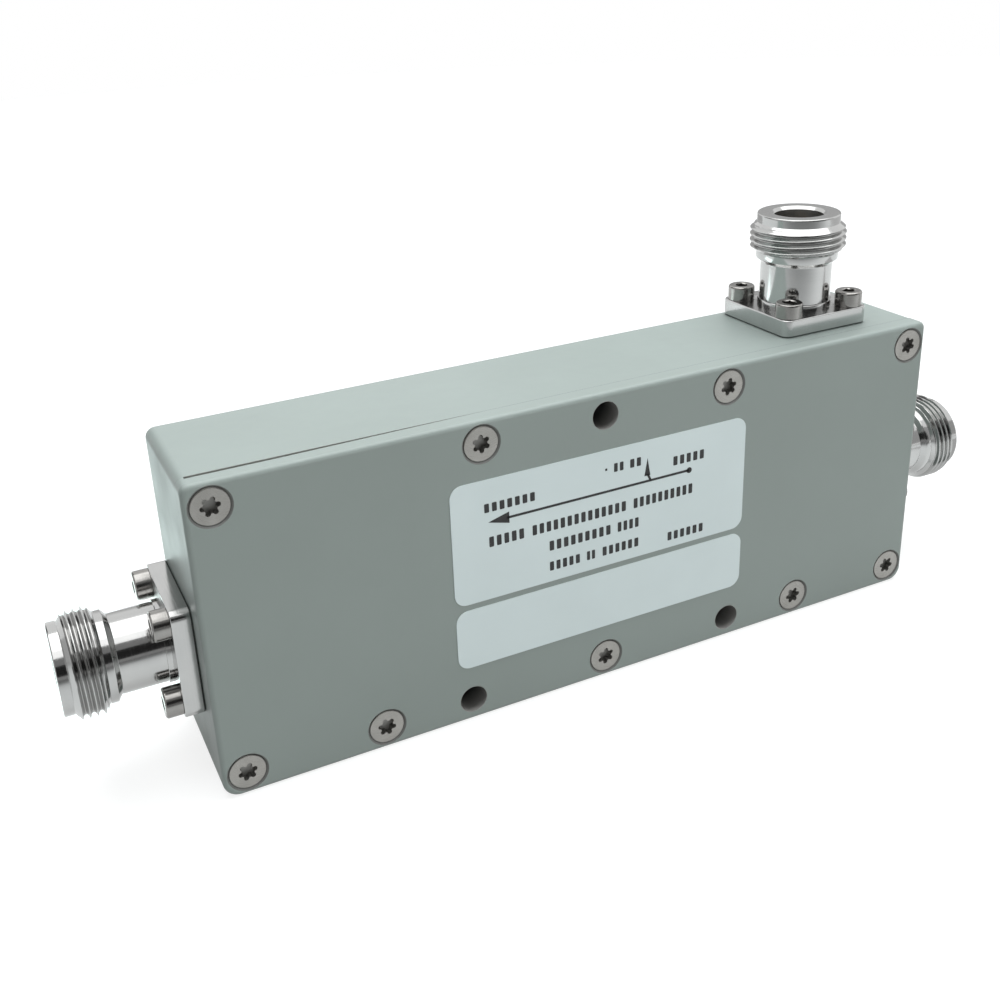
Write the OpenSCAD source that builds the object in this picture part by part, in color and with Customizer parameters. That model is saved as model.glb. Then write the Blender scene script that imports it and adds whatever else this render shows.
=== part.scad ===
// Directional coupler with three threaded coaxial ports.
// A milled housing holds two bar lines side by side: the main line runs straight between the end ports,
// the coupled line runs beside it from the top port to a load. A flat cover closes the front.
// The parts are drawn with the housing lying on its back, and stood on its long edge at the end.

/* [Body] */
// Length of the body between the flanges of the end ports
body_len = 127.5; // [120:0.5:140]
// Height of the body as it stands on its long edge
body_h = 50; // [48:0.5:60]
// Depth of the milled housing behind the cover
housing_depth = 20.5; // [20:0.5:26]
// Thickness of the front cover
cover_t = 3; // [2.5:0.25:4]
// Width of the solid rim between the cavity and the outside
rim_w = 7.4; // [7:0.2:9]
// Thickness of the housing's back wall
back_t = 2.5; // [2:0.25:3.5]
// Radius of the lower corners of housing and cover
corner_r = 2.5; // [1.5:0.25:3]
// Radius of the housing's upper corners
housing_top_r = 1.5; // [1.25:0.25:3]
// Tighter radius of the cover's upper corners
cover_top_r = 1.25; // [1:0.25:2.5]
// Radius of the rounded outer edges
edge_r = 0.8; // [0.3:0.1:0.9]
// Corner radius of the milled cavity
cavity_r = 4; // [2:0.5:6]

/* [Joint line] */
// Width of the open joint between cover and housing at the left end of the top
seam_w = 0.6; // [0.3:0.05:0.8]
// Depth of the open joint
seam_depth = 0.8; // [0.4:0.1:1]
// Distance from the middle at which the joint begins to narrow
seam_taper = 50; // [40:1:55]
// Distance from the middle at which the joint has closed
seam_end = 18; // [5:1:35]

/* [Cover fastening] */
// Distance of the cover screws and mounting holes from the nearest edge
edge_inset = 3.7; // [3.5:0.1:4.2]
// Distance of the upper left cover screw from the middle
top_screw_left = 20.75; // [12:0.25:30]
// Distance of the upper right cover screw from the middle
top_screw_right = 22.75; // [12:0.25:30]
// Distance of the outer lower cover screws from the middle
bottom_screw_x = 38.5; // [32:0.5:45]
// Distance of the lower mounting holes from the middle
mount_x = 24; // [18:0.5:28]
// Diameter of the mounting holes right through the body
mount_d = 4.5; // [3.5:0.1:4.8]
// Thread diameter of the cover screws
cover_screw_d = 3; // [2.5:0.1:3.5]
// Length of a cover screw from the top of its head
cover_screw_len = 8; // [6:0.5:12]
// Head diameter of the cover screws
cover_head_d = 5.5; // [5:0.1:5.7]
// Height of the straight rim of a cover screw's head
cover_head_rim = 0.2; // [0.1:0.05:0.25]
// Diameter of the countersink at the cover's face
sink_d = 6.2; // [6.1:0.1:6.6]
// Width of the six-lobe recess across its points
lobe_d = 2.9; // [2.4:0.1:3]
// Diameter of the recess between its lobes
lobe_core_d = 2; // [1.8:0.1:2.2]
// Radius of each lobe's tip
lobe_tip_r = 0.38; // [0.3:0.02:0.45]
// Depth of the six-lobe recess
lobe_depth = 1.1; // [0.6:0.1:1.3]

/* [Ports] */
// Depth of the port axes behind the cover's face
axis_depth = 13.8; // [13:0.1:14.5]
// Height of the end ports' common axis above the base
axis_h = 20.4; // [18:0.1:23]
// Distance of the coupled port's axis from the middle
coupled_x = 46.5; // [42:0.5:50]
// Side of the square flange
flange_w = 17.5; // [17:0.1:18]
// Thickness of the flange
flange_t = 3; // [2.5:0.1:3.5]
// Corner radius of the flange
flange_r = 1.5; // [0.5:0.1:2]
// Diameter of the collar on the flange
collar_d = 12.4; // [12.2:0.1:12.9]
// Length of the collar
collar_len = 0.9; // [0.5:0.1:1.5]
// Diameter of the neck
neck_d = 11.9; // [11:0.1:12.1]
// Length of the neck
neck_len = 6.5; // [5:0.1:8]
// Length of the cone that widens the neck to the ring
shoulder_len = 0.7; // [0.4:0.1:1]
// Diameter of the plain ring behind the thread
ring_d = 13.6; // [13:0.1:14.5]
// Length of the plain ring
ring_len = 1.1; // [0.6:0.1:1.6]
// Length over which the thread runs out to the ring
runout_len = 0.9; // [0.6:0.1:1.2]
// Outside diameter of the coupling thread
thread_d = 15.88; // [15.5:0.01:16.2]
// Length of the full thread
thread_len = 3.2; // [2.5:0.1:5]
// Length of the cone that leads on to the thread
lead_len = 0.9; // [0.6:0.1:1.2]
// Diameter of the plain nose
nose_d = 13.7; // [13:0.1:14.2]
// Length of the plain nose
nose_len = 1.5; // [1:0.1:2.5]
// Chamfer on the rim of the nose
nose_edge = 0.25; // [0.1:0.05:0.4]
// Diameter of the flared mouth
mouth_d = 9.1; // [8.6:0.1:10]
// Bore that takes the mating plug
bore_d = 8.1; // [7.8:0.1:8.3]
// Depth of that bore
bore_len = 10.2; // [9:0.1:12]
// Inside diameter of the outer conductor behind the bore
line_bore_d = 7; // [6.6:0.1:7.3]
// Diameter of the pilot that passes through the housing wall
pilot_d = 8.8; // [8.4:0.1:9.4]

/* [Centre contacts] */
// Diameter of the centre contact
contact_d = 3.04; // [2.8:0.02:3.2]
// Depth of the contact's tip below the mouth
contact_recess = 4.5; // [4.3:0.1:5.5]
// Bore of the contact's socket
socket_d = 1.7; // [1.5:0.1:2]
// Depth of the contact's socket
socket_depth = 4; // [3:0.1:5]
// Width of the slots that let the socket spring
slot_w = 0.35; // [0.2:0.05:0.5]
// Diameter of the contact's tail in the line
tail_d = 1.6; // [1.2:0.1:2]
// Length of the tail in the line
tail_len = 3; // [2:0.1:4]

/* [Flange screws] */
// Spacing of the four flange screws, both ways
flange_pitch = 12.7; // [12.5:0.05:12.8]
// Thread diameter of the flange screws
flange_screw_d = 2.5; // [2:0.1:3]
// Length of a flange screw under its head
flange_screw_len = 8; // [6:0.5:9]
// Head diameter of the flange screws
flange_head_d = 4.5; // [4:0.1:4.7]
// Head height of the flange screws
flange_head_h = 2.5; // [2:0.1:3]
// Chamfer on the head's rim
flange_head_edge = 0.3; // [0.1:0.05:0.5]
// Width of the hexagon socket across its flats
hex_w = 2; // [1.5:0.1:2.5]
// Depth of the hexagon socket
hex_depth = 1.3; // [0.8:0.1:1.6]

/* [Lines] */
// Thickness of both line bars, front to back
line_t = 3; // [2.5:0.1:4]
// Height of the main line
main_w = 10; // [8:0.5:12]
// Height of the main line at its ends
main_end_w = 5; // [4:0.5:6]
// Length of the taper at each end of the main line
main_taper = 6; // [3:0.5:10]
// Gap between the main line and the cavity's end walls
end_gap = 2; // [1:0.1:4]
// Height of the coupled line
coupled_w = 5; // [4:0.5:6]
// Gap between the two lines where they run closest
coupled_gap = 5.5; // [3:0.1:6.5]
// Length of the stretch where the lines run closest
coupled_mid = 30; // [20:1:40]
// Length of the slope by which they part at both ends of that stretch
coupled_step = 2.5; // [1:0.1:3]
// Gap between the coupled line's ends and the cavity's top wall
load_gap = 4.2; // [3:0.1:6]
// How far the coupled line runs past the port's axis
coupled_end = 4; // [2.5:0.5:5]
// Distance of the main line's posts from the middle
main_post_x = 32; // [22:1:40]
// Distance of the coupled line's posts from the middle
coupled_post_x = 28; // [26:1:36]
// Diameter of the insulating posts under the lines
post_d = 7; // [5:0.5:8]
// Diameter of the spigot on each post
spigot_d = 3; // [2:0.1:3.5]
// Depth of the seat of each post in the back wall
post_seat = 0.6; // [0.3:0.1:1]
// Diameter of the load resistor's end caps
load_d = 5; // [4:0.1:6]
// Diameter of the load resistor between its end caps
load_rod_d = 4.4; // [3.5:0.1:5]
// Length of each end cap of the load resistor
load_cap = 1.6; // [1:0.1:2.5]
// Depth of the load resistor's seat in the top wall
load_seat = 3; // [2:0.1:4]

/* [Labels] */
// Width of both labels
label_w = 52.6; // [40:0.1:60]
// Height of the lower label
lower_label_h = 10.1; // [8:0.1:10.8]
// Height of the upper label
upper_label_h = 19.9; // [15:0.1:21]
// Gap between the two labels
label_gap = 1; // [0.5:0.1:2]
// Height of the lower label's edge above the base
label_base = 9.6; // [8.5:0.1:11]
// Corner radius of the labels
label_r = 2; // [0.5:0.1:3]
// Thickness of the labels
label_t = 0.15; // [0.1:0.05:0.3]

/* [Fits] */
// Clearance round a piece that fits in a bore
fit = 0.05; // [0.02:0.01:0.1]
// Clearance round a screw in a plain hole
hole_clear = 0.15; // [0.05:0.05:0.2]
// Depth of a tapped hole beyond its screw
tap_spare = 1; // [0.5:0.1:1.4]

/* [Hidden] */
$fn = 64;
over = 1;
depth = cover_t + housing_depth;
z_front = depth / 2;
z_seam = z_front - cover_t;
z_back = -depth / 2;
z_floor = z_back + back_t;
z_axis = z_front - axis_depth;
cavity_len = body_len - 2 * rim_w;
cavity_h = body_h - 2 * rim_w;
cavity_top = body_h - rim_w;

top_y = body_h - edge_inset;
bottom_y = edge_inset;
corner_x = body_len / 2 - edge_inset;
screw_places = [
    [-corner_x, top_y], [-top_screw_left, top_y], [top_screw_right, top_y], [corner_x, top_y],
    [-corner_x, bottom_y], [-bottom_screw_x, bottom_y], [0, bottom_y], [bottom_screw_x, bottom_y],
    [corner_x, bottom_y]
];
mount_places = [[0, top_y], [-mount_x, bottom_y], [mount_x, bottom_y]];
head_drop = (sink_d - cover_head_d) / 2 - cover_head_rim - fit;
cover_hole_d = cover_screw_d + 2 * hole_clear;
sink_h = (sink_d - cover_hole_d) / 2;
cover_tap = cover_screw_len + head_drop - cover_t + tap_spare;

// Place and turn of each port: output, input, coupled
OUTPUT = 0;
INPUT = 1;
COUPLED = 2;
ports = [
    [[-body_len / 2, axis_h, z_axis], [0, -90, 0]],
    [[body_len / 2, axis_h, z_axis], [0, 90, 0]],
    [[coupled_x, body_h, z_axis], [-90, 0, 0]]
];
// Stations along a port, outwards from the housing wall
s_collar = flange_t + collar_len;
s_neck = s_collar + neck_len;
s_shoulder = s_neck + shoulder_len;
s_ring = s_shoulder + ring_len;
s_runout = s_ring + runout_len;
s_thread = s_runout + thread_len;
s_lead = s_thread + lead_len;
s_tip = s_lead + nose_len;
s_step = s_tip - bore_len;
s_contact = s_tip - contact_recess;
flange_tap = flange_screw_len - flange_t + tap_spare;

main_half = body_len / 2 - rim_w - end_gap;
coupled_low = axis_h + main_w / 2 + coupled_gap;
coupled_top = cavity_top - load_gap;
coupled_high = coupled_top - coupled_w;
coupled_half = coupled_x + coupled_end;
z_line_back = z_axis - line_t / 2;
coupled_post_y = coupled_high + coupled_w / 2;
load_len = load_gap + load_seat;

paint = "#9aa6a2";
plate = "#c9ccce";
steel = "#a8a8a4";
gold = "#c9a24a";
silver_bar = "#d8d8d4";
ptfe = "#f2f1ec";
label_white = "#c9d6d8";

// Stands the lying coupler on its long edge, cover to the front
module stand() {
    rotate([90, 0, 0])
        children();
}

// Puts a piece drawn along +z, outwards from the wall, at one of the ports
module at_port(port) {
    translate(ports[port][0])
        rotate(ports[port][1])
            children();
}

// The four places of a flange's screws, in the port's own frame
module at_flange_screws() {
    for (x = [-1, 1], y = [-1, 1])
        translate([x * flange_pitch / 2, y * flange_pitch / 2, 0])
            children();
}

// Rectangle that stands on y = 0, with its own radius for upper and lower corners
module rounded_rect(w, h, top_r, low_r) {
    translate([-w / 2 + low_r, 0])
        square([w - 2 * low_r, h / 2]);
    translate([-w / 2, low_r])
        square([w, h / 2 - low_r]);
    translate([-w / 2, h / 2])
        square([w, h / 2 - top_r]);
    translate([-w / 2 + top_r, h / 2])
        square([w - 2 * top_r, h / 2]);
    for (side = [-1, 1]) {
        translate([side * (w / 2 - low_r), low_r])
            circle(low_r);
        translate([side * (w / 2 - top_r), h - top_r])
            circle(top_r);
    }
}

// Carries a profile, x outwards and y forwards, once round the outline of a rounded rectangle
module round_rim(w, h, top_r, low_r) {
    edges = [
        [[w / 2, h - top_r], 0, h - top_r - low_r],
        [[-w / 2 + top_r, h], 90, w - 2 * top_r],
        [[-w / 2, low_r], 180, h - top_r - low_r],
        [[w / 2 - low_r, 0], 270, w - 2 * low_r]
    ];
    corners = [
        [[w / 2 - top_r, h - top_r], 0, top_r],
        [[-w / 2 + top_r, h - top_r], 90, top_r],
        [[-w / 2 + low_r, low_r], 180, low_r],
        [[w / 2 - low_r, low_r], 270, low_r]
    ];
    for (e = edges)
        translate(e[0])
            rotate([0, 0, e[1]])
                rotate([90, 0, 0])
                    linear_extrude(e[2])
                        children();
    for (c = corners)
        translate(c[0])
            rotate([0, 0, c[1]])
                rotate_extrude(angle = 90)
                    translate([c[2], 0])
                        children();
}

// What a rounded front edge takes away from a square one
module edge_profile() {
    difference() {
        translate([-edge_r, -edge_r])
            square(edge_r + over);
        translate([-edge_r, -edge_r])
            circle(edge_r);
    }
}

// Rounded block of the body's outline, between two depths, before it is cut
module body_block(z0, z1, top_r) {
    translate([0, 0, z0])
        linear_extrude(z1 - z0)
            rounded_rect(body_len, body_h, top_r, corner_r);
}

// Straight hole along z between two depths
module hole(place, d, z0, z1) {
    translate([place[0], place[1], z0])
        cylinder(d = d, h = z1 - z0);
}

module housing() {
    color(paint) stand() difference() {
        body_block(z_back, z_seam, housing_top_r);
        translate([0, 0, z_back])
            mirror([0, 0, 1])
                round_rim(body_len, body_h, housing_top_r, corner_r)
                    edge_profile();
        translate([0, rim_w, z_floor])
            linear_extrude(z_seam - z_floor + over)
                rounded_rect(cavity_len, cavity_h, cavity_r, cavity_r);
        for (p = screw_places)
            hole(p, cover_screw_d + 2 * fit, z_seam - cover_tap, z_seam + over);
        for (p = mount_places)
            hole(p, mount_d, z_back - over, z_seam + over);
        for (port = [OUTPUT, INPUT, COUPLED])
            at_port(port) {
                translate([0, 0, -rim_w - over])
                    cylinder(d = pilot_d + 2 * fit, h = rim_w + 2 * over);
                at_flange_screws()
                    translate([0, 0, -flange_tap])
                        cylinder(d = flange_screw_d + 2 * fit, h = flange_tap + over);
            }
        for (side = [-1, 1]) {
            hole([side * main_post_x, axis_h], post_d + 2 * fit, z_floor - post_seat, z_floor + over);
            hole([side * coupled_post_x, coupled_post_y], post_d + 2 * fit, z_floor - post_seat,
                z_floor + over);
        }
        translate([-coupled_x, cavity_top + load_seat, z_axis])
            rotate([90, 0, 0])
                cylinder(d = load_d + 2 * fit, h = load_seat + over);
    }
}

module cover() {
    color(paint) stand() difference() {
        body_block(z_seam, z_front, cover_top_r);
        translate([0, 0, z_front])
            round_rim(body_len, body_h, cover_top_r, corner_r)
                edge_profile();
        for (p = screw_places) {
            hole(p, cover_hole_d, z_seam - over, z_front + over);
            translate([p[0], p[1], z_front - sink_h])
                cylinder(d1 = cover_hole_d, d2 = sink_d + 2 * over, h = sink_h + over);
        }
        for (p = mount_places)
            hole(p, mount_d, z_seam - over, z_front + over);
        translate([0, body_h + over, 0])
            rotate([90, 0, 0])
                linear_extrude(seam_depth + over)
                    polygon([
                        [-body_len / 2 + cover_top_r, z_seam - over],
                        [-body_len / 2 + cover_top_r, z_seam + seam_w],
                        [-seam_taper, z_seam + seam_w], [-seam_end, z_seam], [-seam_end, z_seam - over]
                    ]);
    }
}

// Countersunk screw, head up, the top of its head at z = 0
module cover_screw() {
    cone_h = (cover_head_d - cover_screw_d) / 2;
    difference() {
        union() {
            translate([0, 0, -cover_head_rim])
                cylinder(d = cover_head_d, h = cover_head_rim);
            translate([0, 0, -cover_head_rim - cone_h])
                cylinder(d1 = cover_screw_d, d2 = cover_head_d, h = cone_h);
            translate([0, 0, -cover_screw_len])
                cylinder(d = cover_screw_d, h = cover_screw_len - cover_head_rim - cone_h);
        }
        translate([0, 0, -lobe_depth]) {
            cylinder(d = lobe_core_d, h = lobe_depth + over);
            for (turn = [0:60:300])
                rotate([0, 0, turn])
                    translate([lobe_d / 2 - lobe_tip_r, 0, 0])
                        cylinder(r = lobe_tip_r, h = lobe_depth + over);
        }
    }
}

module cover_screws() {
    color(steel) stand()
        for (p = screw_places)
            translate([p[0], p[1], z_front - head_drop])
                cover_screw();
}

// Flat label on the cover's face
module label(base, h) {
    color(label_white) stand()
        translate([0, base, z_front])
            linear_extrude(label_t)
                rounded_rect(label_w, h, label_r, label_r);
}

module upper_label() {
    label(label_base + lower_label_h + label_gap, upper_label_h);
}

module lower_label() {
    label(label_base, lower_label_h);
}

// Turned shell with its square flange, along +z from the housing wall
module port_shell() {
    color(plate) {
        rotate_extrude()
            polygon([
                [line_bore_d / 2, -rim_w], [pilot_d / 2, -rim_w], [pilot_d / 2, 0], [collar_d / 2, 0],
                [collar_d / 2, s_collar], [neck_d / 2, s_collar], [neck_d / 2, s_neck],
                [ring_d / 2, s_shoulder], [ring_d / 2, s_ring], [thread_d / 2, s_runout],
                [thread_d / 2, s_thread], [nose_d / 2, s_lead], [nose_d / 2, s_tip - nose_edge],
                [nose_d / 2 - nose_edge, s_tip], [mouth_d / 2, s_tip],
                [bore_d / 2, s_tip - (mouth_d - bore_d) / 2], [bore_d / 2, s_step],
                [line_bore_d / 2, s_step]
            ]);
        difference() {
            linear_extrude(flange_t)
                translate([0, -flange_w / 2])
                    rounded_rect(flange_w, flange_w, flange_r, flange_r);
            translate([0, 0, -over]) {
                cylinder(d = pilot_d, h = flange_t + 2 * over);
                at_flange_screws()
                    cylinder(d = flange_screw_d + 2 * hole_clear, h = flange_t + 2 * over);
            }
        }
    }
}

// Slotted socket contact with a tail that enters the line, reach long inside the cavity
module port_contact(reach) {
    color(gold) difference() {
        union() {
            translate([0, 0, -rim_w - reach])
                cylinder(d = contact_d, h = s_contact + rim_w + reach);
            translate([0, 0, -rim_w - reach - tail_len])
                cylinder(d = tail_d, h = tail_len);
        }
        translate([0, 0, s_contact - socket_depth])
            cylinder(d = socket_d, h = socket_depth + over);
        for (turn = [0, 90])
            rotate([0, 0, turn])
                translate([-contact_d, -slot_w / 2, s_contact - socket_depth])
                    cube([2 * contact_d, slot_w, socket_depth + over]);
    }
}

// Insulator that centres the contact in the shell
module port_insulator() {
    color(ptfe)
        translate([0, 0, -rim_w])
            difference() {
                cylinder(d = line_bore_d - 2 * fit, h = rim_w + s_step);
                translate([0, 0, -over])
                    cylinder(d = contact_d + 2 * fit, h = rim_w + s_step + 2 * over);
            }
}

// Socket-head screw, seated on z = 0
module flange_screw() {
    difference() {
        union() {
            cylinder(d = flange_head_d, h = flange_head_h - flange_head_edge);
            translate([0, 0, flange_head_h - flange_head_edge])
                cylinder(d1 = flange_head_d, d2 = flange_head_d - 2 * flange_head_edge,
                    h = flange_head_edge);
            translate([0, 0, -flange_screw_len])
                cylinder(d = flange_screw_d, h = flange_screw_len);
        }
        translate([0, 0, flange_head_h - hex_depth])
            cylinder(d = hex_w / cos(30), h = hex_depth + over, $fn = 6);
    }
}

module port_screws() {
    color(steel)
        at_flange_screws()
            translate([0, 0, flange_t])
                flange_screw();
}

module output_shell() {
    stand() at_port(OUTPUT) port_shell();
}

module output_contact() {
    stand() at_port(OUTPUT) port_contact(end_gap);
}

module output_insulator() {
    stand() at_port(OUTPUT) port_insulator();
}

module output_screws() {
    stand() at_port(OUTPUT) port_screws();
}

module input_shell() {
    stand() at_port(INPUT) port_shell();
}

module input_contact() {
    stand() at_port(INPUT) port_contact(end_gap);
}

module input_insulator() {
    stand() at_port(INPUT) port_insulator();
}

module input_screws() {
    stand() at_port(INPUT) port_screws();
}

module coupled_shell() {
    stand() at_port(COUPLED) port_shell();
}

module coupled_contact() {
    stand() at_port(COUPLED) port_contact(load_gap);
}

module coupled_insulator() {
    stand() at_port(COUPLED) port_insulator();
}

module coupled_screws() {
    stand() at_port(COUPLED) port_screws();
}

// Straight bar with tapered ends, bored for the contacts' tails and drilled for its posts
module main_line() {
    color(silver_bar) stand() difference() {
        translate([0, axis_h, z_line_back])
            linear_extrude(line_t)
                polygon([
                    [-main_half, -main_end_w / 2], [-main_half + main_taper, -main_w / 2],
                    [main_half - main_taper, -main_w / 2], [main_half, -main_end_w / 2],
                    [main_half, main_end_w / 2], [main_half - main_taper, main_w / 2],
                    [-main_half + main_taper, main_w / 2], [-main_half, main_end_w / 2]
                ]);
        for (side = [-1, 1]) {
            translate([side * main_half, axis_h, z_axis])
                rotate([0, -side * 90, 0])
                    translate([0, 0, -over])
                        cylinder(d = tail_d + 2 * fit, h = tail_len + fit + over);
            hole([side * main_post_x, axis_h], spigot_d + 2 * fit, z_line_back - over,
                z_line_back + line_t + over);
        }
    }
}

// Bar that runs close to the main line in the middle and steps away at both ends
module coupled_line() {
    mid = coupled_mid / 2;
    color(silver_bar) stand() difference() {
        translate([0, 0, z_line_back])
            linear_extrude(line_t)
                polygon([
                    [-coupled_half, coupled_high], [-mid - coupled_step, coupled_high],
                    [-mid, coupled_low], [mid, coupled_low],
                    [mid + coupled_step, coupled_high], [coupled_half, coupled_high],
                    [coupled_half, coupled_top], [mid + coupled_step, coupled_top],
                    [mid, coupled_low + coupled_w], [-mid, coupled_low + coupled_w],
                    [-mid - coupled_step, coupled_top], [-coupled_half, coupled_top]
                ]);
        for (side = [-1, 1]) {
            translate([side * coupled_x, coupled_top, z_axis])
                rotate([90, 0, 0])
                    translate([0, 0, -over])
                        cylinder(d = tail_d + 2 * fit, h = tail_len + fit + over);
            hole([side * coupled_post_x, coupled_post_y], spigot_d + 2 * fit, z_line_back - over,
                z_line_back + line_t + over);
        }
    }
}

// Insulating post from the back wall to a line, with its spigot through the line
module post(x, y) {
    color(ptfe) stand() {
        hole([x, y], post_d, z_floor - post_seat, z_line_back);
        hole([x, y], spigot_d, z_line_back, z_line_back + line_t);
    }
}

module main_post_left() {
    post(-main_post_x, axis_h);
}

module main_post_right() {
    post(main_post_x, axis_h);
}

module coupled_post_left() {
    post(-coupled_post_x, coupled_post_y);
}

module coupled_post_right() {
    post(coupled_post_x, coupled_post_y);
}

// Rod resistor that ends the coupled line, seated in the housing's top wall
module load_resistor() {
    color(ptfe) stand()
        translate([-coupled_x, coupled_top, z_axis])
            rotate([-90, 0, 0]) {
                cylinder(d = load_rod_d, h = load_len);
                cylinder(d = load_d, h = load_cap);
                translate([0, 0, load_len - load_cap])
                    cylinder(d = load_d, h = load_cap);
                translate([0, 0, -tail_len])
                    cylinder(d = tail_d, h = tail_len);
            }
}

housing();
cover();
cover_screws();
upper_label();
lower_label();
output_shell();
output_contact();
output_insulator();
output_screws();
input_shell();
input_contact();
input_insulator();
input_screws();
coupled_shell();
coupled_contact();
coupled_insulator();
coupled_screws();
main_line();
coupled_line();
main_post_left();
main_post_right();
coupled_post_left();
coupled_post_right();
load_resistor();
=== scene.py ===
# Looks of a directional coupler: a painted box with three plated, threaded ports.
# Sizes are written in millimetres and multiplied by MM, because the frame is in metres.
import math

import bpy
from mathutils import Matrix, Vector


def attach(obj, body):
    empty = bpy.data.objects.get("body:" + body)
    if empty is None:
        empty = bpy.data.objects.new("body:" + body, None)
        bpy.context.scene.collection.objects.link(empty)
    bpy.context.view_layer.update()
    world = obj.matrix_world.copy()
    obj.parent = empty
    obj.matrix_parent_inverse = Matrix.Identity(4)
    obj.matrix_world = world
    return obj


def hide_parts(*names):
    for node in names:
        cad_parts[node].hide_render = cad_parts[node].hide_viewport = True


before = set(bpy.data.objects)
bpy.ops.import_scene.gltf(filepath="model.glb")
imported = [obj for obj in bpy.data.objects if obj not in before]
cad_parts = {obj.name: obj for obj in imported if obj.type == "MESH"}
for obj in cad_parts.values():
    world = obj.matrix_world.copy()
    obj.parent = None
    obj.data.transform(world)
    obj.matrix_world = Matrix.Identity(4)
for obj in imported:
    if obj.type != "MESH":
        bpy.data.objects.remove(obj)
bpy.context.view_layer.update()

MM = 0.001
ROUND = 2 * math.pi

# Body and ports, in the frame of the part
FACE_Y = -11.75
JOINT_Y = -8.75
LABEL_FRONT = -11.9
PORT_Y = 2.05
PORTS = {
    "output": ((-63.75, PORT_Y, 20.4), -90),
    "input": ((63.75, PORT_Y, 20.4), 90),
    "coupled": ((46.5, PORT_Y, 50.0), 0),
}

# Stations of a port along its axis, outwards from the wall
FLANGE_TOP = 3.0
COLLAR_END = 3.9
NECK_END = 10.4
RING_START = 11.1
RING_END = 12.2
RUNOUT_END = 13.1
THREAD_END = 16.3
LEAD_END = 17.2
TIP = 18.7
BORE_STEP = 8.5
WALL_INSIDE = -7.4

# Radii of a port
COLLAR_R = 6.2
NECK_R = 5.95
RING_R = 6.8
THREAD_R = 7.94
ROOT_R = 7.29
NOSE_R = 6.85
MOUTH_R = 4.55
BORE_R = 4.05
LINE_R = 3.5
PILOT_R = 4.4
PITCH = 25.4 / 24
STEPS = 128

# Square flange of a port and the places of its screws
FLANGE_W = 17.5
FLANGE_CORNER = 1.5
FLANGE_EDGE = 0.22
FLANGE_FOOT = 0.28
FLANGE_DRILL_R = 1.4
SCREW_HALF = 6.35

# How near, in millimetres, a point counts as lying on a plane or on a ring
ON_PLANE = 0.01
ON_RING = 0.02

# Below these distances two points are one, and an edge has no length
SAME_SPOT = 0.0005
SAME_LENGTH = 0.0002


# Work on one piece at a time

def lay_down_tools():
    if bpy.context.object and bpy.context.object.mode != "OBJECT":
        bpy.ops.object.mode_set(mode="OBJECT")
    bpy.ops.object.select_all(action="DESELECT")


def take_up(piece):
    lay_down_tools()
    piece.select_set(True)
    bpy.context.view_layer.objects.active = piece


def open_mesh(piece):
    take_up(piece)
    bpy.ops.object.mode_set(mode="EDIT")
    bpy.ops.mesh.select_all(action="SELECT")


def close_mesh():
    bpy.ops.object.mode_set(mode="OBJECT")


def named(name):
    piece = bpy.context.object
    piece.name = name
    piece.data.name = name
    return piece


def pick_faces(piece, wanted):
    bpy.ops.mesh.select_mode(type="FACE")
    bpy.ops.mesh.select_all(action="DESELECT")
    bpy.ops.object.mode_set(mode="OBJECT")
    for face in piece.data.polygons:
        face.select = wanted(face.center / MM, face.normal)
    bpy.ops.object.mode_set(mode="EDIT")


def pick_edges(piece, wanted):
    bpy.ops.mesh.select_mode(type="EDGE")
    bpy.ops.mesh.select_all(action="DESELECT")
    bpy.ops.object.mode_set(mode="OBJECT")
    points = piece.data.vertices
    for edge in piece.data.edges:
        a, b = (points[i].co / MM for i in edge.vertices)
        edge.select = wanted(a, b)
    bpy.ops.object.mode_set(mode="EDIT")


def off_axis(spot):
    return math.hypot(spot.x, spot.y)


def on_ring(radius, height):
    def wanted(a, b):
        return all(
            abs(off_axis(spot) - radius) < ON_RING and abs(spot.z - height) < ON_RING
            for spot in (a, b)
        )
    return wanted


def bevel_edges(piece, wanted, size, segments):
    pick_edges(piece, wanted)
    bpy.ops.mesh.bevel(offset=size * MM, segments=segments, affect="EDGES", profile=0.5)


def bevel_ring(piece, radius, height, size, segments):
    bevel_edges(piece, on_ring(radius, height), size, segments)


def apply_modifier(piece, kind, **settings):
    take_up(piece)
    modifier = piece.modifiers.new(kind.lower(), kind)
    for key, value in settings.items():
        setattr(modifier, key, value)
    bpy.ops.object.modifier_apply(modifier=modifier.name)


def cut_away(piece, tool):
    apply_modifier(piece, "BOOLEAN", operation="DIFFERENCE", solver="EXACT", object=tool)
    bpy.data.objects.remove(tool)


def fuse(piece, other):
    apply_modifier(piece, "BOOLEAN", operation="UNION", solver="EXACT", object=other)
    bpy.data.objects.remove(other)


def join_all(pieces, name):
    lay_down_tools()
    for piece in pieces:
        piece.select_set(True)
    bpy.context.view_layer.objects.active = pieces[0]
    bpy.ops.object.join()
    return named(name)


def smooth(piece, degrees):
    """Smooth shading between faces that meet at less than the angle; large faces stay flat."""
    take_up(piece)
    bpy.ops.object.shade_smooth_by_angle(angle=math.radians(degrees))
    apply_modifier(piece, "WEIGHTED_NORMAL", keep_sharp=True, weight=100)


def tidy_mesh(piece):
    open_mesh(piece)
    bpy.ops.mesh.remove_doubles(threshold=SAME_SPOT * MM)
    bpy.ops.mesh.dissolve_degenerate(threshold=SAME_LENGTH * MM)
    bpy.ops.mesh.select_all(action="SELECT")
    bpy.ops.mesh.normals_make_consistent(inside=False)
    close_mesh()


def mark_faces(piece, name, wanted):
    """A value on each face, which the finish reads: 1 where wanted, 0 elsewhere."""
    marks = piece.data.attributes.new(name, "FLOAT", "FACE")
    for face in piece.data.polygons:
        marks.data[face.index].value = float(wanted(face.center / MM, face.normal))


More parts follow.
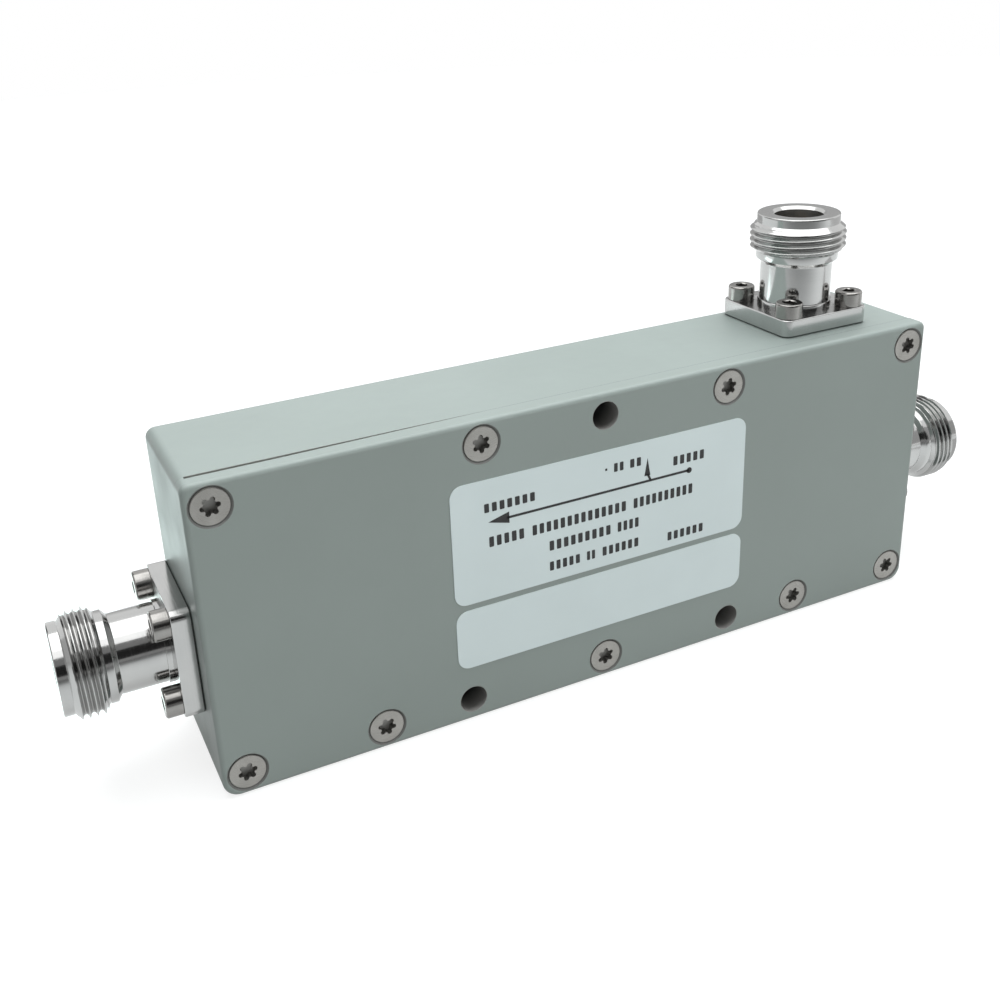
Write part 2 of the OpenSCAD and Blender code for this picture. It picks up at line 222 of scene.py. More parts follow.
def copy_to(piece, name, place):
    """A copy with its own mesh, moved there for good."""
    twin = piece.copy()
    twin.data = piece.data.copy()
    twin.name = name
    twin.data.name = name
    bpy.context.scene.collection.objects.link(twin)
    twin.data.transform(place)
    return twin


def put_away(piece):
    mesh = piece.data
    bpy.data.objects.remove(piece)
    bpy.data.meshes.remove(mesh)


def at_port(port):
    """Turns a piece drawn along +z, outwards from the wall, to its port."""
    spot, turn = PORTS[port]
    return Matrix.Translation(Vector(spot) * MM) @ Matrix.Rotation(math.radians(turn), 4, "Y")


# Turning: an outline of (radius, height) is drawn point by point and spun round the upright axis

def draw_outline(name, outline):
    lay_down_tools()
    bpy.ops.mesh.primitive_plane_add(size=MM, location=(0, 0, 0))
    piece = named(name)
    bpy.ops.object.mode_set(mode="EDIT")
    bpy.ops.mesh.select_mode(type="VERT")
    bpy.ops.mesh.select_all(action="SELECT")
    bpy.ops.mesh.merge(type="CENTER")
    radius, height = outline[0]
    bpy.ops.transform.translate(value=(radius * MM, 0, height * MM))
    for r, z in outline[1:]:
        step = ((r - radius) * MM, 0, (z - height) * MM)
        bpy.ops.mesh.extrude_vertices_move(TRANSFORM_OT_translate={"value": step})
        radius, height = r, z
    close_mesh()
    return piece


def turned(name, outline, steps=STEPS):
    piece = draw_outline(name, outline)
    open_mesh(piece)
    bpy.ops.mesh.spin(steps=steps, angle=ROUND, center=(0, 0, 0), axis=(0, 0, 1))
    bpy.ops.mesh.select_all(action="SELECT")
    bpy.ops.mesh.remove_doubles(threshold=SAME_SPOT * MM)
    bpy.ops.mesh.normals_make_consistent(inside=False)
    close_mesh()
    return piece


def round_bar(name, radius, low, high, corners=48):
    lay_down_tools()
    bpy.ops.mesh.primitive_cylinder_add(
        vertices=corners, radius=radius * MM, depth=(high - low) * MM,
        location=(0, 0, (low + high) / 2 * MM),
    )
    bpy.ops.object.transform_apply(location=True, rotation=False, scale=False)
    return named(name)


# Port shell: plating over turned brass, a true thread and a square flange

THREAD_TURNS = 8
THREAD_EASE = 0.02
ROOT_ROUND = 0.035
CREST_ROUND = 0.04
TURNS_BELOW_RING = 1.7
NOSE_EDGE_ZONE = 0.35
MOUTH_ZONE = 0.6
CORE_WALL = 0.6


def thread_limit(height):
    """Radius to which the thread is turned down at its run-out and at its lead."""
    if height < RUNOUT_END:
        return RING_R + (THREAD_R - RING_R) * (height - RING_END) / (RUNOUT_END - RING_END)
    if height > THREAD_END:
        return THREAD_R - (THREAD_R - NOSE_R) * (height - THREAD_END) / (LEAD_END - THREAD_END)
    return THREAD_R


def thread_depth(spot, normal):
    """How deep a face of the thread lies, from 0 at the crest to 1 at the root."""
    if not RING_END < spot.z < LEAD_END:
        return 0
    depth = thread_limit(spot.z) - off_axis(spot)
    return min(max(depth / (THREAD_R - ROOT_R), 0), 1)


def model_thread():
    """One pitch of a 60 degree thread is carried up the helix, then turned down at both ends."""
    depth = THREAD_R - ROOT_R
    crest = PITCH / 16
    foot = crest + depth * math.tan(math.radians(30))
    flank = foot - crest
    side = [
        (ROOT_R, PITCH / 2), (ROOT_R, foot + THREAD_EASE),
        (ROOT_R + ROOT_ROUND, foot - THREAD_EASE),
        (ROOT_R + 0.35 * depth, foot - 0.35 * flank),
        (ROOT_R + 0.7 * depth, foot - 0.7 * flank),
        (THREAD_R - CREST_ROUND, crest + THREAD_EASE), (THREAD_R, crest - THREAD_EASE),
    ]
    rows = [(radius, -height) for radius, height in side] + [(THREAD_R, 0)] + side[::-1]
    base = RING_END - TURNS_BELOW_RING * PITCH
    thread = draw_outline("thread", [(radius, base + height) for radius, height in rows])
    apply_modifier(
        thread, "SCREW", axis="Z", angle=ROUND, screw_offset=PITCH * MM, iterations=THREAD_TURNS,
        steps=STEPS, render_steps=STEPS, use_merge_vertices=False,
    )
    for point in thread.data.vertices:
        height = min(max(point.co.z / MM, RING_END), LEAD_END)
        radius = off_axis(point.co) / MM
        turned_down = min(radius, thread_limit(height)) / radius
        point.co = (point.co.x * turned_down, point.co.y * turned_down, height * MM)
    return thread


def model_flange():
    lay_down_tools()
    bpy.ops.mesh.primitive_cube_add(size=1, location=(0, 0, FLANGE_TOP / 2 * MM))
    flange = named("flange")
    flange.scale = (FLANGE_W * MM, FLANGE_W * MM, FLANGE_TOP * MM)
    bpy.ops.object.transform_apply(location=True, rotation=False, scale=True)
    open_mesh(flange)
    bevel_edges(flange, lambda a, b: abs(a.z - b.z) > 1, FLANGE_CORNER, 8)
    bevel_edges(flange, lambda a, b: min(a.z, b.z) > FLANGE_TOP - ON_PLANE, FLANGE_EDGE, 3)
    bevel_edges(flange, lambda a, b: max(a.z, b.z) < ON_PLANE, FLANGE_FOOT, 2)
    close_mesh()
    for x in (-SCREW_HALF, SCREW_HALF):
        for y in (-SCREW_HALF, SCREW_HALF):
            drill = round_bar("drill", FLANGE_DRILL_R, -1, FLANGE_TOP + 1, 32)
            drill.data.transform(Matrix.Translation((x * MM, y * MM, 0)))
            cut_away(flange, drill)
    core = round_bar("core_hole", PILOT_R + CORE_WALL, -1, FLANGE_TOP + 1, 64)
    cut_away(flange, core)
    return flange


def model_shell():
    shell = turned("shell", [
        (RING_R, RING_END), (RING_R, RING_START), (NECK_R, NECK_END), (NECK_R, COLLAR_END),
        (COLLAR_R, COLLAR_END), (COLLAR_R, 0.0), (PILOT_R, 0.0), (PILOT_R, WALL_INSIDE),
        (LINE_R, WALL_INSIDE), (LINE_R, BORE_STEP), (BORE_R, BORE_STEP),
        (BORE_R, TIP - (MOUTH_R - BORE_R)), (MOUTH_R, TIP), (NOSE_R, TIP),
        (NOSE_R, TIP - NOSE_EDGE_ZONE), (NOSE_R, LEAD_END),
    ])
    open_mesh(shell)
    bevel_ring(shell, NOSE_R, TIP, 0.25, 4)
    bevel_ring(shell, MOUTH_R, TIP, 0.12, 3)
    bevel_ring(shell, COLLAR_R, COLLAR_END, 0.15, 3)
    bevel_ring(shell, RING_R, RING_START, 0.1, 2)
    bevel_ring(shell, NECK_R, NECK_END, 0.12, 2)
    close_mesh()
    shell = join_all([shell, model_thread()], "shell")
    tidy_mesh(shell)
    fuse(shell, model_flange())
    tidy_mesh(shell)
    smooth(shell, 28)
    mark_faces(
        shell, "milled", lambda c, n: c.z < FLANGE_TOP + ON_PLANE and off_axis(c) > COLLAR_R)
    mark_faces(shell, "bore", lambda c, n: c.z < TIP - MOUTH_ZONE and off_axis(c) < MOUTH_R)
    # Painted shade: the plating is darker the deeper a face of the thread lies
    mark_faces(shell, "valley", thread_depth)
    # Painted shade: the foot of the flange, where it meets the wall, is darker
    mark_faces(
        shell, "gap", lambda c, n: c.z < FLANGE_FOOT and n.z < -0.1 and off_axis(c) > COLLAR_R)
    return shell


# Screws

# Socket-head screw of a flange
CAP_R = 2.25
CAP_TOP = 2.5
CAP_SHANK_R = 1.25
SOCKET_HALF = 1.0
SOCKET_FLOOR = 1.2
SOCKET_MOUTH = 2.32
SOCKET_REACH = 1.2

# Countersunk screw of the cover
COVER_HEAD_R = 2.75
COVER_RIM_END = -0.2
COVER_CONE_END = -1.45
COVER_SHANK_R = 1.5
LOBE_CORE = 1.0
LOBE_AT = 1.07
LOBE_TIP = 0.38
LOBE_FLOOR = -1.1

SHANK_END = -8


def mark_turning(piece, radius):
    """A flat map of the piece seen along its axis, which the turning marks follow."""
    flat = piece.data.uv_layers.new(name="turning")
    for loop in piece.data.loops:
        spot = piece.data.vertices[loop.vertex_index].co / MM
        flat.data[loop.index].uv = (0.5 + spot.x / radius / 4, 0.5 + spot.y / radius / 4)


def draw_down(depth):
    """Extrudes the picked faces straight down."""
    bpy.ops.mesh.extrude_region_move(TRANSFORM_OT_translate={"value": (0, 0, -depth * MM)})


def model_cap_screw():
    """Socket-head screw, seated on z = 0."""
    screw = round_bar("cap_screw", CAP_R, 0, CAP_TOP)
    open_mesh(screw)
    pick_faces(screw, lambda c, n: n.z < -0.9)
    bpy.ops.mesh.inset(thickness=(CAP_R - CAP_SHANK_R) * MM, depth=0)
    draw_down(-SHANK_END)
    bevel_edges(screw, lambda a, b: min(a.z, b.z) > CAP_TOP - ON_PLANE, 0.38, 5)
    bevel_ring(screw, CAP_R, 0, 0.08, 2)
    bevel_ring(screw, CAP_SHANK_R, SHANK_END, 0.3, 2)
    close_mesh()
    corner = SOCKET_HALF / math.cos(math.radians(30))
    cut_away(screw, round_bar("hexagon", corner, SOCKET_FLOOR, CAP_TOP + 1, 6))
    cut_away(screw, turned("socket_mouth", [
        (0.0, 3.0), (1.7, 3.0), (1.02, SOCKET_MOUTH), (0.0, SOCKET_MOUTH),
    ], 48))
    tidy_mesh(screw)
    smooth(screw, 32)
    mark_turning(screw, CAP_R)
    # Painted shade in the hex socket
    mark_faces(
        screw, "recess",
        lambda c, n: SOCKET_FLOOR - 0.2 < c.z < SOCKET_MOUTH + 0.02 and off_axis(c) < SOCKET_REACH)
    return screw


def lobe_reach(angle):
    """Radius of the six-lobe recess: a round core with six round tips."""
    off = angle % (ROUND / 6)
    off = min(off, ROUND / 6 - off)
    aside = LOBE_AT * math.sin(off)
    if aside >= LOBE_TIP:
        return LOBE_CORE
    return max(LOBE_CORE, LOBE_AT * math.cos(off) + math.sqrt(LOBE_TIP ** 2 - aside ** 2))


def model_cover_screw():
    """Countersunk screw with a six-lobe recess, the top of its head at z = 0."""
    screw = round_bar("cover_screw", COVER_HEAD_R, COVER_RIM_END, 0, 64)
    open_mesh(screw)
    pick_faces(screw, lambda c, n: n.z < -0.9)
    draw_down(COVER_RIM_END - COVER_CONE_END)
    shrink = COVER_SHANK_R / COVER_HEAD_R
    bpy.ops.transform.resize(
        value=(shrink, shrink, 1), center_override=(0, 0, COVER_CONE_END * MM))
    draw_down(COVER_CONE_END - SHANK_END)
    bevel_ring(screw, COVER_HEAD_R, 0, 0.16, 4)
    bevel_ring(screw, COVER_SHANK_R, SHANK_END, 0.35, 2)
    close_mesh()
    lobes = round_bar("six_lobes", 1.0, LOBE_FLOOR, 1, 144)
    for point in lobes.data.vertices:
        reach = lobe_reach(math.atan2(point.co.y, point.co.x))
        point.co.x *= reach
        point.co.y *= reach
    cut_away(screw, lobes)
    tidy_mesh(screw)
    smooth(screw, 32)
    mark_turning(screw, COVER_HEAD_R)
    # Painted shade in the six-lobe recess
    mark_faces(
        screw, "recess",
        lambda c, n: LOBE_FLOOR - 0.3 < c.z < -ON_PLANE and off_axis(c) < COVER_SHANK_R - 0.01)
    return screw


# Places on the cover: (x, z, turn of the recess) of its screws, (x, z) of the holes through it
COVER_SCREWS = [
    (-60.05, 46.3, 8), (-20.75, 46.3, 33), (22.75, 46.3, 17), (60.05, 46.3, 40),
    (-60.05, 3.7, 12), (-38.5, 3.7, 47), (0.0, 3.7, 26), (38.5, 3.7, 5), (60.05, 3.7, 52),
]
COVER_HEAD_Y = -11.65
MOUNTING_HOLES = [(0.0, 46.3), (-24.0, 3.7), (24.0, 3.7)]


# Labels, flow arrows and rows of blocks

LABELS = {"upper_label": (20.7, 40.6), "lower_label": (9.6, 19.7)}
LABEL_HALF = 26.3
LABEL_CORNER = 2.0
FILM_FRONT = -11.88
INK_BACK = FILM_FRONT + 0.01


def flat_field(name, corners, back, front, round_corners=0.0):
    """A flat field on the front face, from its corners (x, z) in order, with a little thickness."""
    lay_down_tools()
    bpy.ops.mesh.primitive_circle_add(
        vertices=len(corners), radius=MM, fill_type="NGON", location=(0, 0, 0),
    )
    field = named(name)
    for point, (x, z) in zip(field.data.vertices, corners):
        point.co = (x * MM, front * MM, z * MM)
    open_mesh(field)
    bpy.ops.mesh.normals_make_consistent(inside=False)
    if round_corners:
        bpy.ops.mesh.bevel(
            offset=round_corners * MM, segments=8, affect="VERTICES", profile=0.5)
    bpy.ops.mesh.select_all(action="SELECT")
    bpy.ops.mesh.extrude_region_move(
        TRANSFORM_OT_translate={"value": (0, (back - front) * MM, 0)})
    bpy.ops.mesh.select_all(action="SELECT")
    bpy.ops.mesh.normals_make_consistent(inside=False)
    close_mesh()
    return field


def box_corners(x0, x1, z0, z1):
    return [(x0, z0), (x1, z0), (x1, z1), (x0, z1)]


def model_label(name):
    low, high = LABELS[name]
    corners = box_corners(-LABEL_HALF, LABEL_HALF, low, high)
    film = flat_field(name + "_film", corners, FACE_Y, FILM_FRONT, LABEL_CORNER)
    open_mesh(film)
    bevel_edges(
        film, lambda a, b: max(abs(a.y - FILM_FRONT), abs(b.y - FILM_FRONT)) < ON_PLANE, 0.03, 2)
    close_mesh()
    smooth(film, 40)
    return film


def ink_shape(name, corners, round_corners=0.0):
    return flat_field(name, corners, INK_BACK, LABEL_FRONT, round_corners)


def ink_bar(x0, x1, z0, z1, corner):
    return ink_shape("bar", box_corners(x0, x1, z0, z1), corner)


def ink_round(x, z, radius):
    turns = [ROUND * i / 32 for i in range(32)]
    return ink_shape("dot", [(x + radius * math.cos(t), z + radius * math.sin(t)) for t in turns])


ARROW_Z = 33.65


def model_flow_arrows():
    """Signal flow: a long arrow from the input dot to the output, and a branch to the coupled port."""
    return join_all([
        ink_bar(-17.2, 15.4, ARROW_Z - 0.2, ARROW_Z + 0.2, 0.05),
        ink_shape("arrow", [(-20.3, ARROW_Z), (-16.8, ARROW_Z - 0.95), (-16.8, ARROW_Z + 0.95)]),
        ink_round(15.4, ARROW_Z, 0.5),
        ink_shape("arrow", [(8.35, ARROW_Z), (7.75, 34.9), (7.3, 34.9), (7.9, ARROW_Z)]),
        ink_shape("arrow", [(6.95, 34.6), (8.05, 34.6), (7.5, 37.6)]),
    ], "flow_arrows")


# Rows of plain blocks on the upper label: (first x, last x, low z, high z)
PRINT_LINES = [
    (-21.1, -12.2, 35.3, 36.75), (-0.3, 0.3, 37.2, 37.6), (1.2, 3.3, 36.65, 38.1),
    (4.1, 6.5, 36.65, 38.1), (12.1, 18.4, 35.15, 36.7),
    (-20.5, -14.2, 29.5, 31.2), (-13.2, 3.8, 29.5, 31.2), (4.8, 16.3, 29.5, 31.2),
    (-10.35, 1.0, 26.1, 27.75), (1.9, 6.15, 26.1, 27.75),
    (-10.35, -4.6, 22.6, 24.15), (-3.7, -1.9, 22.6, 24.15), (-0.9, 6.15, 22.6, 24.15),
    (11.3, 18.6, 22.0, 23.5),
]
BLOCK_PITCH = 1.2
BLOCK_SHARE = 0.62


def model_print():
    block = ink_bar(-0.5, 0.5, -0.5, 0.5, 0.14)
    blocks = []
    for x0, x1, z0, z1 in PRINT_LINES:
        count = max(1, round((x1 - x0) / BLOCK_PITCH))
        step = (x1 - x0) / count
        size = Matrix.Diagonal((step * BLOCK_SHARE, 1, z1 - z0, 1))
        for number in range(count):
            middle = Matrix.Translation(((x0 + step * (number + 0.5)) * MM, 0, (z0 + z1) / 2 * MM))
            blocks.append(copy_to(block, "block", middle @ size))
    put_away(block)
    return join_all(blocks, "print_lines")


# Finishes

# A noise is read between these two levels
NOISE_LOW = 0.3
NOISE_HIGH = 0.7


class Finish:
    """A material built node by node around one shader."""

    def __init__(self, name, **sockets):
        self.material = bpy.data.materials.new(name)
        self.material.use_nodes = True
        self.tree = self.material.node_tree
        self.shader = self.tree.nodes["Principled BSDF"]
        self.where = self.tree.nodes.new("ShaderNodeTexCoord")
        for key, value in sockets.items():
            self.shader.inputs[key].default_value = value

    def node(self, kind, **settings):
        node = self.tree.nodes.new("ShaderNode" + kind)
        for key, value in settings.items():
            setattr(node, key, value)
        return node

    def link(self, source, target):
        self.tree.links.new(source, target)

    def stretched(self, scale):
        mapping = self.node("Mapping")
        mapping.inputs["Scale"].default_value = scale
        self.link(self.where.outputs["Object"], mapping.inputs["Vector"])
        return mapping.outputs["Vector"]

    def noise(self, scale, detail, vector=None):
        noise = self.node("TexNoise")
        noise.inputs["Scale"].default_value = scale
        noise.inputs["Detail"].default_value = detail
        self.link(vector or self.where.outputs["Object"], noise.inputs["Vector"])
        return noise.outputs["Fac"]

    def map_range(self, source, first, last, low, high):
        node = self.node("MapRange")
        for key, value in (
            ("From Min", first), ("From Max", last), ("To Min", low), ("To Max", high),
        ):
            node.inputs[key].default_value = value
        self.link(source, node.inputs["Value"])
        return node.outputs["Result"]

    def step(self, source, edge, soft):
        """1 below the edge, 0 above it."""
        return self.map_range(source, edge - soft, edge + soft, 1, 0)

    def math(self, operation, *sources):
        node = self.node("Math", operation=operation)
        for source, target in zip(sources, node.inputs):
            if isinstance(source, (int, float)):
                target.default_value = source
            else:
                self.link(source, target)
        return node.outputs[0]

    def mark(self, name):
        return self.node("Attribute", attribute_name=name).outputs["Fac"]

    def around_axes(self, axes, radius):
        """1 within the radius of any of the axes (x, z) that run from front to back; and the depth."""
        place = self.node("SeparateXYZ")
        self.link(self.where.outputs["Object"], place.inputs[0])
        flat = self.node("CombineXYZ")
        self.link(place.outputs["X"], flat.inputs["X"])
        self.link(place.outputs["Z"], flat.inputs["Z"])
        nearest = 1.0
        for x, z in axes:
            gap = self.node("VectorMath", operation="DISTANCE")
            self.link(flat.outputs[0], gap.inputs[0])
            gap.inputs[1].default_value = (x * MM, 0, z * MM)
            nearest = self.math("MINIMUM", nearest, gap.outputs["Value"])
        return self.step(nearest, radius * MM, 0.02 * MM), place.outputs["Y"]

    def colour(self, source, dark, light):
        """The colour goes from dark to light with the noise."""
        ramp = self.node("ValToRGB")
        stops = ((NOISE_LOW, dark), (NOISE_HIGH, light))
        for mark, (place, tone) in zip(ramp.color_ramp.elements, stops):
            mark.position = place
            mark.color = (*tone, 1)
        self.link(source, ramp.inputs["Fac"])
        self.link(ramp.outputs["Color"], self.shader.inputs["Base Color"])

    def tint(self, mask, colour):
        """Another colour where the mask is 1."""
        target = self.shader.inputs["Base Color"]
        mix = self.node("Mix", data_type="RGBA")
        self.link(mask, mix.inputs[0])
        self.link(target.links[0].from_socket, mix.inputs[6])
        mix.inputs[7].default_value = (*colour, 1)
        self.link(mix.outputs[2], target)

    def roughness(self, source, smoothest, roughest):
        result = self.map_range(source, NOISE_LOW, NOISE_HIGH, smoothest, roughest)
        self.link(result, self.shader.inputs["Roughness"])

    def rougher(self, mask, amount):
        """A higher roughness where the mask is 1."""
        target = self.shader.inputs["Roughness"]
        result = self.math("MULTIPLY_ADD", mask, amount, target.links[0].from_socket)
        self.link(result, target)

    def bump(self, source, height, strength):
        bump = self.node("Bump")
        bump.inputs["Distance"].default_value = height * MM
        bump.inputs["Strength"].default_value = strength
        self.link(source, bump.inputs["Height"])
        self.link(bump.outputs["Normal"], self.shader.inputs["Normal"])


# Where the paint has other tones: painted shade and bare metal round the screws, painted shade in the
# holes, a dark line along the joint
SEAT_R = 3.1
HOLE_R = 2.28
SEAT_DEPTH = -9.5
HOLE_LIT_DEPTH = -9.3
HOLE_LIT_FADE = 2.2
JOINT_SHADOW = 0.035
JOINT_LINE = 0.004


def grey_paint():
    """Satin grey-green paint with a fine spray grain; painted shade and bare metal darken the screw
    seats, painted shade the holes, and the joint has a dark line.
    """
    paint = Finish("grey_green_paint", Metallic=0.0, IOR=1.48)
    paint.colour(paint.noise(38, 4), (0.226, 0.254, 0.240), (0.240, 0.270, 0.256))
    # A darker ring in the seats of the cover screws, in front only: bare metal and painted shade
    seats, depth = paint.around_axes([(x, z) for x, z, turn in COVER_SCREWS], SEAT_R)
    in_cover = paint.step(depth, SEAT_DEPTH * MM, 0.1 * MM)
    paint.tint(paint.math("MULTIPLY", seats, in_cover), (0.13, 0.128, 0.123))
    # Painted shade in the mounting holes: black inside, with a bare grey near the mouth that fades into
    # the black with depth
    holes, depth = paint.around_axes(MOUNTING_HOLES, HOLE_R)
    lit = paint.step(depth, HOLE_LIT_DEPTH * MM, HOLE_LIT_FADE * MM)
    paint.tint(holes, (0.03, 0.03, 0.03))
    paint.tint(paint.math("MULTIPLY", holes, lit), (0.31, 0.295, 0.285))
    off_joint = paint.math("ABSOLUTE", paint.math("SUBTRACT", depth, JOINT_Y * MM))
    paint.tint(paint.step(off_joint, JOINT_SHADOW * MM, 0.005 * MM), (0.09, 0.095, 0.092))
    paint.tint(paint.step(off_joint, JOINT_LINE * MM, 0.002 * MM), (0.3, 0.285, 0.268))
    paint.roughness(paint.noise(160, 3), 0.38, 0.47)
    paint.bump(paint.noise(1500, 2), 0.008, 0.35)
    return paint.material


def bright_plating(name, axis):
    """Bright plating over turned metal, with fine marks of the lathe round its axis, and painted shade
    in the thread and at the foot of the flange.
    """
    plate = Finish(name, Metallic=1.0)
    squeeze = [9.0, 9.0, 9.0]
    squeeze["XYZ".index(axis)] = 5200.0
    marks = plate.noise(1.0, 2, plate.stretched(squeeze))
    plate.colour(plate.noise(240, 3), (0.525, 0.53, 0.525), (0.565, 0.567, 0.56))
    # Painted shade, deeper in the thread
    plate.tint(plate.mark("valley"), (0.37, 0.37, 0.364))
    # Painted shade where the flange meets the wall
    plate.tint(plate.mark("gap"), (0.16, 0.16, 0.158))
    plate.roughness(marks, 0.08, 0.18)
    plate.rougher(plate.mark("milled"), 0.04)
    plate.rougher(plate.mark("bore"), 0.25)
    plate.bump(marks, 0.0016, 0.12)
    return plate.material


def turned_steel(name, dark, light, recess, smoothest, roughest):
    """Stainless steel with turning marks round each screw, and painted shade in its recess."""
    steel = Finish(name, Metallic=1.0)
    centre = steel.node("Mapping")
    centre.inputs["Location"].default_value = (-0.5, -0.5, 0)
    steel.link(steel.where.outputs["UV"], centre.inputs["Vector"])
    length = steel.node("VectorMath", operation="LENGTH")
    steel.link(centre.outputs["Vector"], length.inputs[0])
    marks = steel.node("TexNoise", noise_dimensions="1D")
    marks.inputs["Scale"].default_value = 170
    marks.inputs["Detail"].default_value = 2
    steel.link(length.outputs["Value"], marks.inputs["W"])
    steel.colour(steel.noise(420, 4), dark, light)
    # Painted shade in the socket or the six lobes
    steel.tint(steel.mark("recess"), recess)
    steel.roughness(marks.outputs["Fac"], smoothest, roughest)
    steel.rougher(steel.mark("recess"), 0.2)
    steel.bump(marks.outputs["Fac"], 0.006, 0.5)
    return steel.material


def label_film():
    """Matt polyester film, a cool white."""
    film = Finish("label_film", IOR=1.5)
    film.colour(film.noise(60, 3), (0.568, 0.626, 0.633), (0.603, 0.661, 0.669))
    film.roughness(film.noise(400, 3), 0.42, 0.52)
    film.bump(film.noise(2600, 2), 0.002, 0.3)
    return film.material


def black_print():
    """Screen-printed ink, a little uneven."""
    ink = Finish("black_ink", IOR=1.45)
    ink.colour(ink.noise(1400, 3), (0.018, 0.017, 0.018), (0.030, 0.028, 0.029))
    ink.roughness(ink.noise(700, 2), 0.45, 0.6)
    return ink.material


def gold_plating():
    gold = Finish("gold_plating", Metallic=1.0)
    gold.colour(gold.noise(500, 3), (0.78, 0.52, 0.20), (0.86, 0.60, 0.26))
    gold.roughness(gold.noise(2500, 2), 0.18, 0.3)
    return gold.material


def white_ptfe():
    ptfe = Finish("white_ptfe", IOR=1.38)
    ptfe.colour(ptfe.noise(300, 3), (0.80, 0.79, 0.75), (0.87, 0.86, 0.83))
    ptfe.roughness(ptfe.noise(900, 2), 0.45, 0.6)
    ptfe.bump(ptfe.noise(3000, 2), 0.004, 0.4)
    return ptfe.material


def silver_bar():
    silver = Finish("silver_plated_bar", Metallic=1.0)
    grain = silver.noise(1.0, 3, silver.stretched((60, 2500, 2500)))
    silver.colour(grain, (0.72, 0.71, 0.67), (0.82, 0.81, 0.78))
    silver.roughness(grain, 0.2, 0.36)
    return silver.material


def load_ceramic():
    ceramic = Finish("glazed_ceramic", IOR=1.55)
    ceramic.colour(ceramic.noise(700, 3), (0.50, 0.47, 0.43), (0.58, 0.55, 0.51))
    ceramic.roughness(ceramic.noise(300, 2), 0.16, 0.28)
    return ceramic.material


def dress(piece, material):
    piece.data.materials.clear()
    piece.data.materials.append(material)


# Building it up

paint = grey_paint()
plating = {axis: bright_plating("plating_along_" + axis.lower(), axis) for axis in "XZ"}
# The third colour of each steel paints shade into its recess
steel = turned_steel(
    "satin_steel", (0.355, 0.347, 0.325), (0.415, 0.405, 0.383), (0.33, 0.325, 0.31), 0.26, 0.4)
cap_steel = turned_steel(
    "cap_screw_steel", (0.32, 0.313, 0.3), (0.38, 0.372, 0.36), (0.17, 0.165, 0.155), 0.15, 0.25)
film = label_film()
black_ink = black_print()
gold = gold_plating()
ptfe = white_ptfe()
silver = silver_bar()
ceramic = load_ceramic()

shell = model_shell()
cap_screw = model_cap_screw()
for port in PORTS:
    place = at_port(port)
    piece = copy_to(shell, port + "_threaded_shell", place)
    dress(piece, plating["Z" if port == "coupled" else "X"])
    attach(piece, "root")
    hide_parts(port + "_shell")
    screws = []
    for number, (x, y) in enumerate(((-1, -1), (1, -1), (1, 1), (-1, 1))):
        seat = Matrix.Translation((x * SCREW_HALF * MM, y * SCREW_HALF * MM, FLANGE_TOP * MM))
        turn = Matrix.Rotation(math.radians(17 + 23 * number), 4, "Z")
        screws.append(copy_to(cap_screw, "cap_screw", place @ seat @ turn))
    piece = join_all(screws, port + "_cap_screws")
    dress(piece, cap_steel)
    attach(piece, "root")
    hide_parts(port + "_screws")
put_away(shell)
put_away(cap_screw)

cover_screw = model_cover_screw()
screws = []
for x, z, turn in COVER_SCREWS:
    seat = Matrix.Translation((x * MM, COVER_HEAD_Y * MM, z * MM))
    face = Matrix.Rotation(math.radians(90), 4, "X")
    screws.append(copy_to(
        cover_screw, "cover_screw", seat @ face @ Matrix.Rotation(math.radians(turn), 4, "Z")))
put_away(cover_screw)
piece = join_all(screws, "six_lobe_screws")
dress(piece, steel)
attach(piece, "root")
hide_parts("cover_screws")

for name in LABELS:
    piece = model_label(name)
    dress(piece, film)
    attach(piece, "root")
    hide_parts(name)

piece = model_flow_arrows()
dress(piece, black_ink)
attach(piece, "root")

piece = model_print()
dress(piece, black_ink)
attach(piece, "root")

FINISH_OF = {
    "housing": paint, "cover": paint,
    "main_line": silver, "coupled_line": silver, "load_resistor": ceramic,
}
for name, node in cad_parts.items():
    if name in FINISH_OF:
        dress(node, FINISH_OF[name])
    elif name.endswith("contact"):
        dress(node, gold)
    elif name.endswith("insulator") or "_post_" in name:
        dress(node, ptfe)
    elif name.endswith("shell"):
        dress(node, plating["X"])
    elif name.endswith("screws"):
        dress(node, steel)
    else:
        dress(node, film)


# Stage: pale floor and soft light; cards all round, as in a light tent, which only bright metal shows:
# glowing sheets that paint its highlights and shade

FLOOR_LIFT = 0.8
FLOOR_LIFT_MIRRORED = 0.5
PAPER = (0.25, 0.25, 0.25)
AWAY_FROM_CAMERA = (0.5, 0.87, 0)


def plain_material(name, shade):
    material = bpy.data.materials.new(name)
    material.use_nodes = True
    tree = material.node_tree
    tree.nodes.clear()
    shade(tree, tree.nodes.new("ShaderNodeOutputMaterial"))
    return material


def seen_straight_or_mirrored(tree):
    """1 for rays from the camera and for those that metal and glass send on."""
    rays = tree.nodes.new("ShaderNodeLightPath")
    first = tree.nodes.new("ShaderNodeMath")
    first.operation = "MAXIMUM"
    tree.links.new(rays.outputs["Is Camera Ray"], first.inputs[0])
    tree.links.new(rays.outputs["Is Glossy Ray"], first.inputs[1])
    both = tree.nodes.new("ShaderNodeMath")
    both.operation = "MAXIMUM"
    tree.links.new(first.outputs[0], both.inputs[0])
    tree.links.new(rays.outputs["Is Transmission Ray"], both.inputs[1])
    return both.outputs[0]


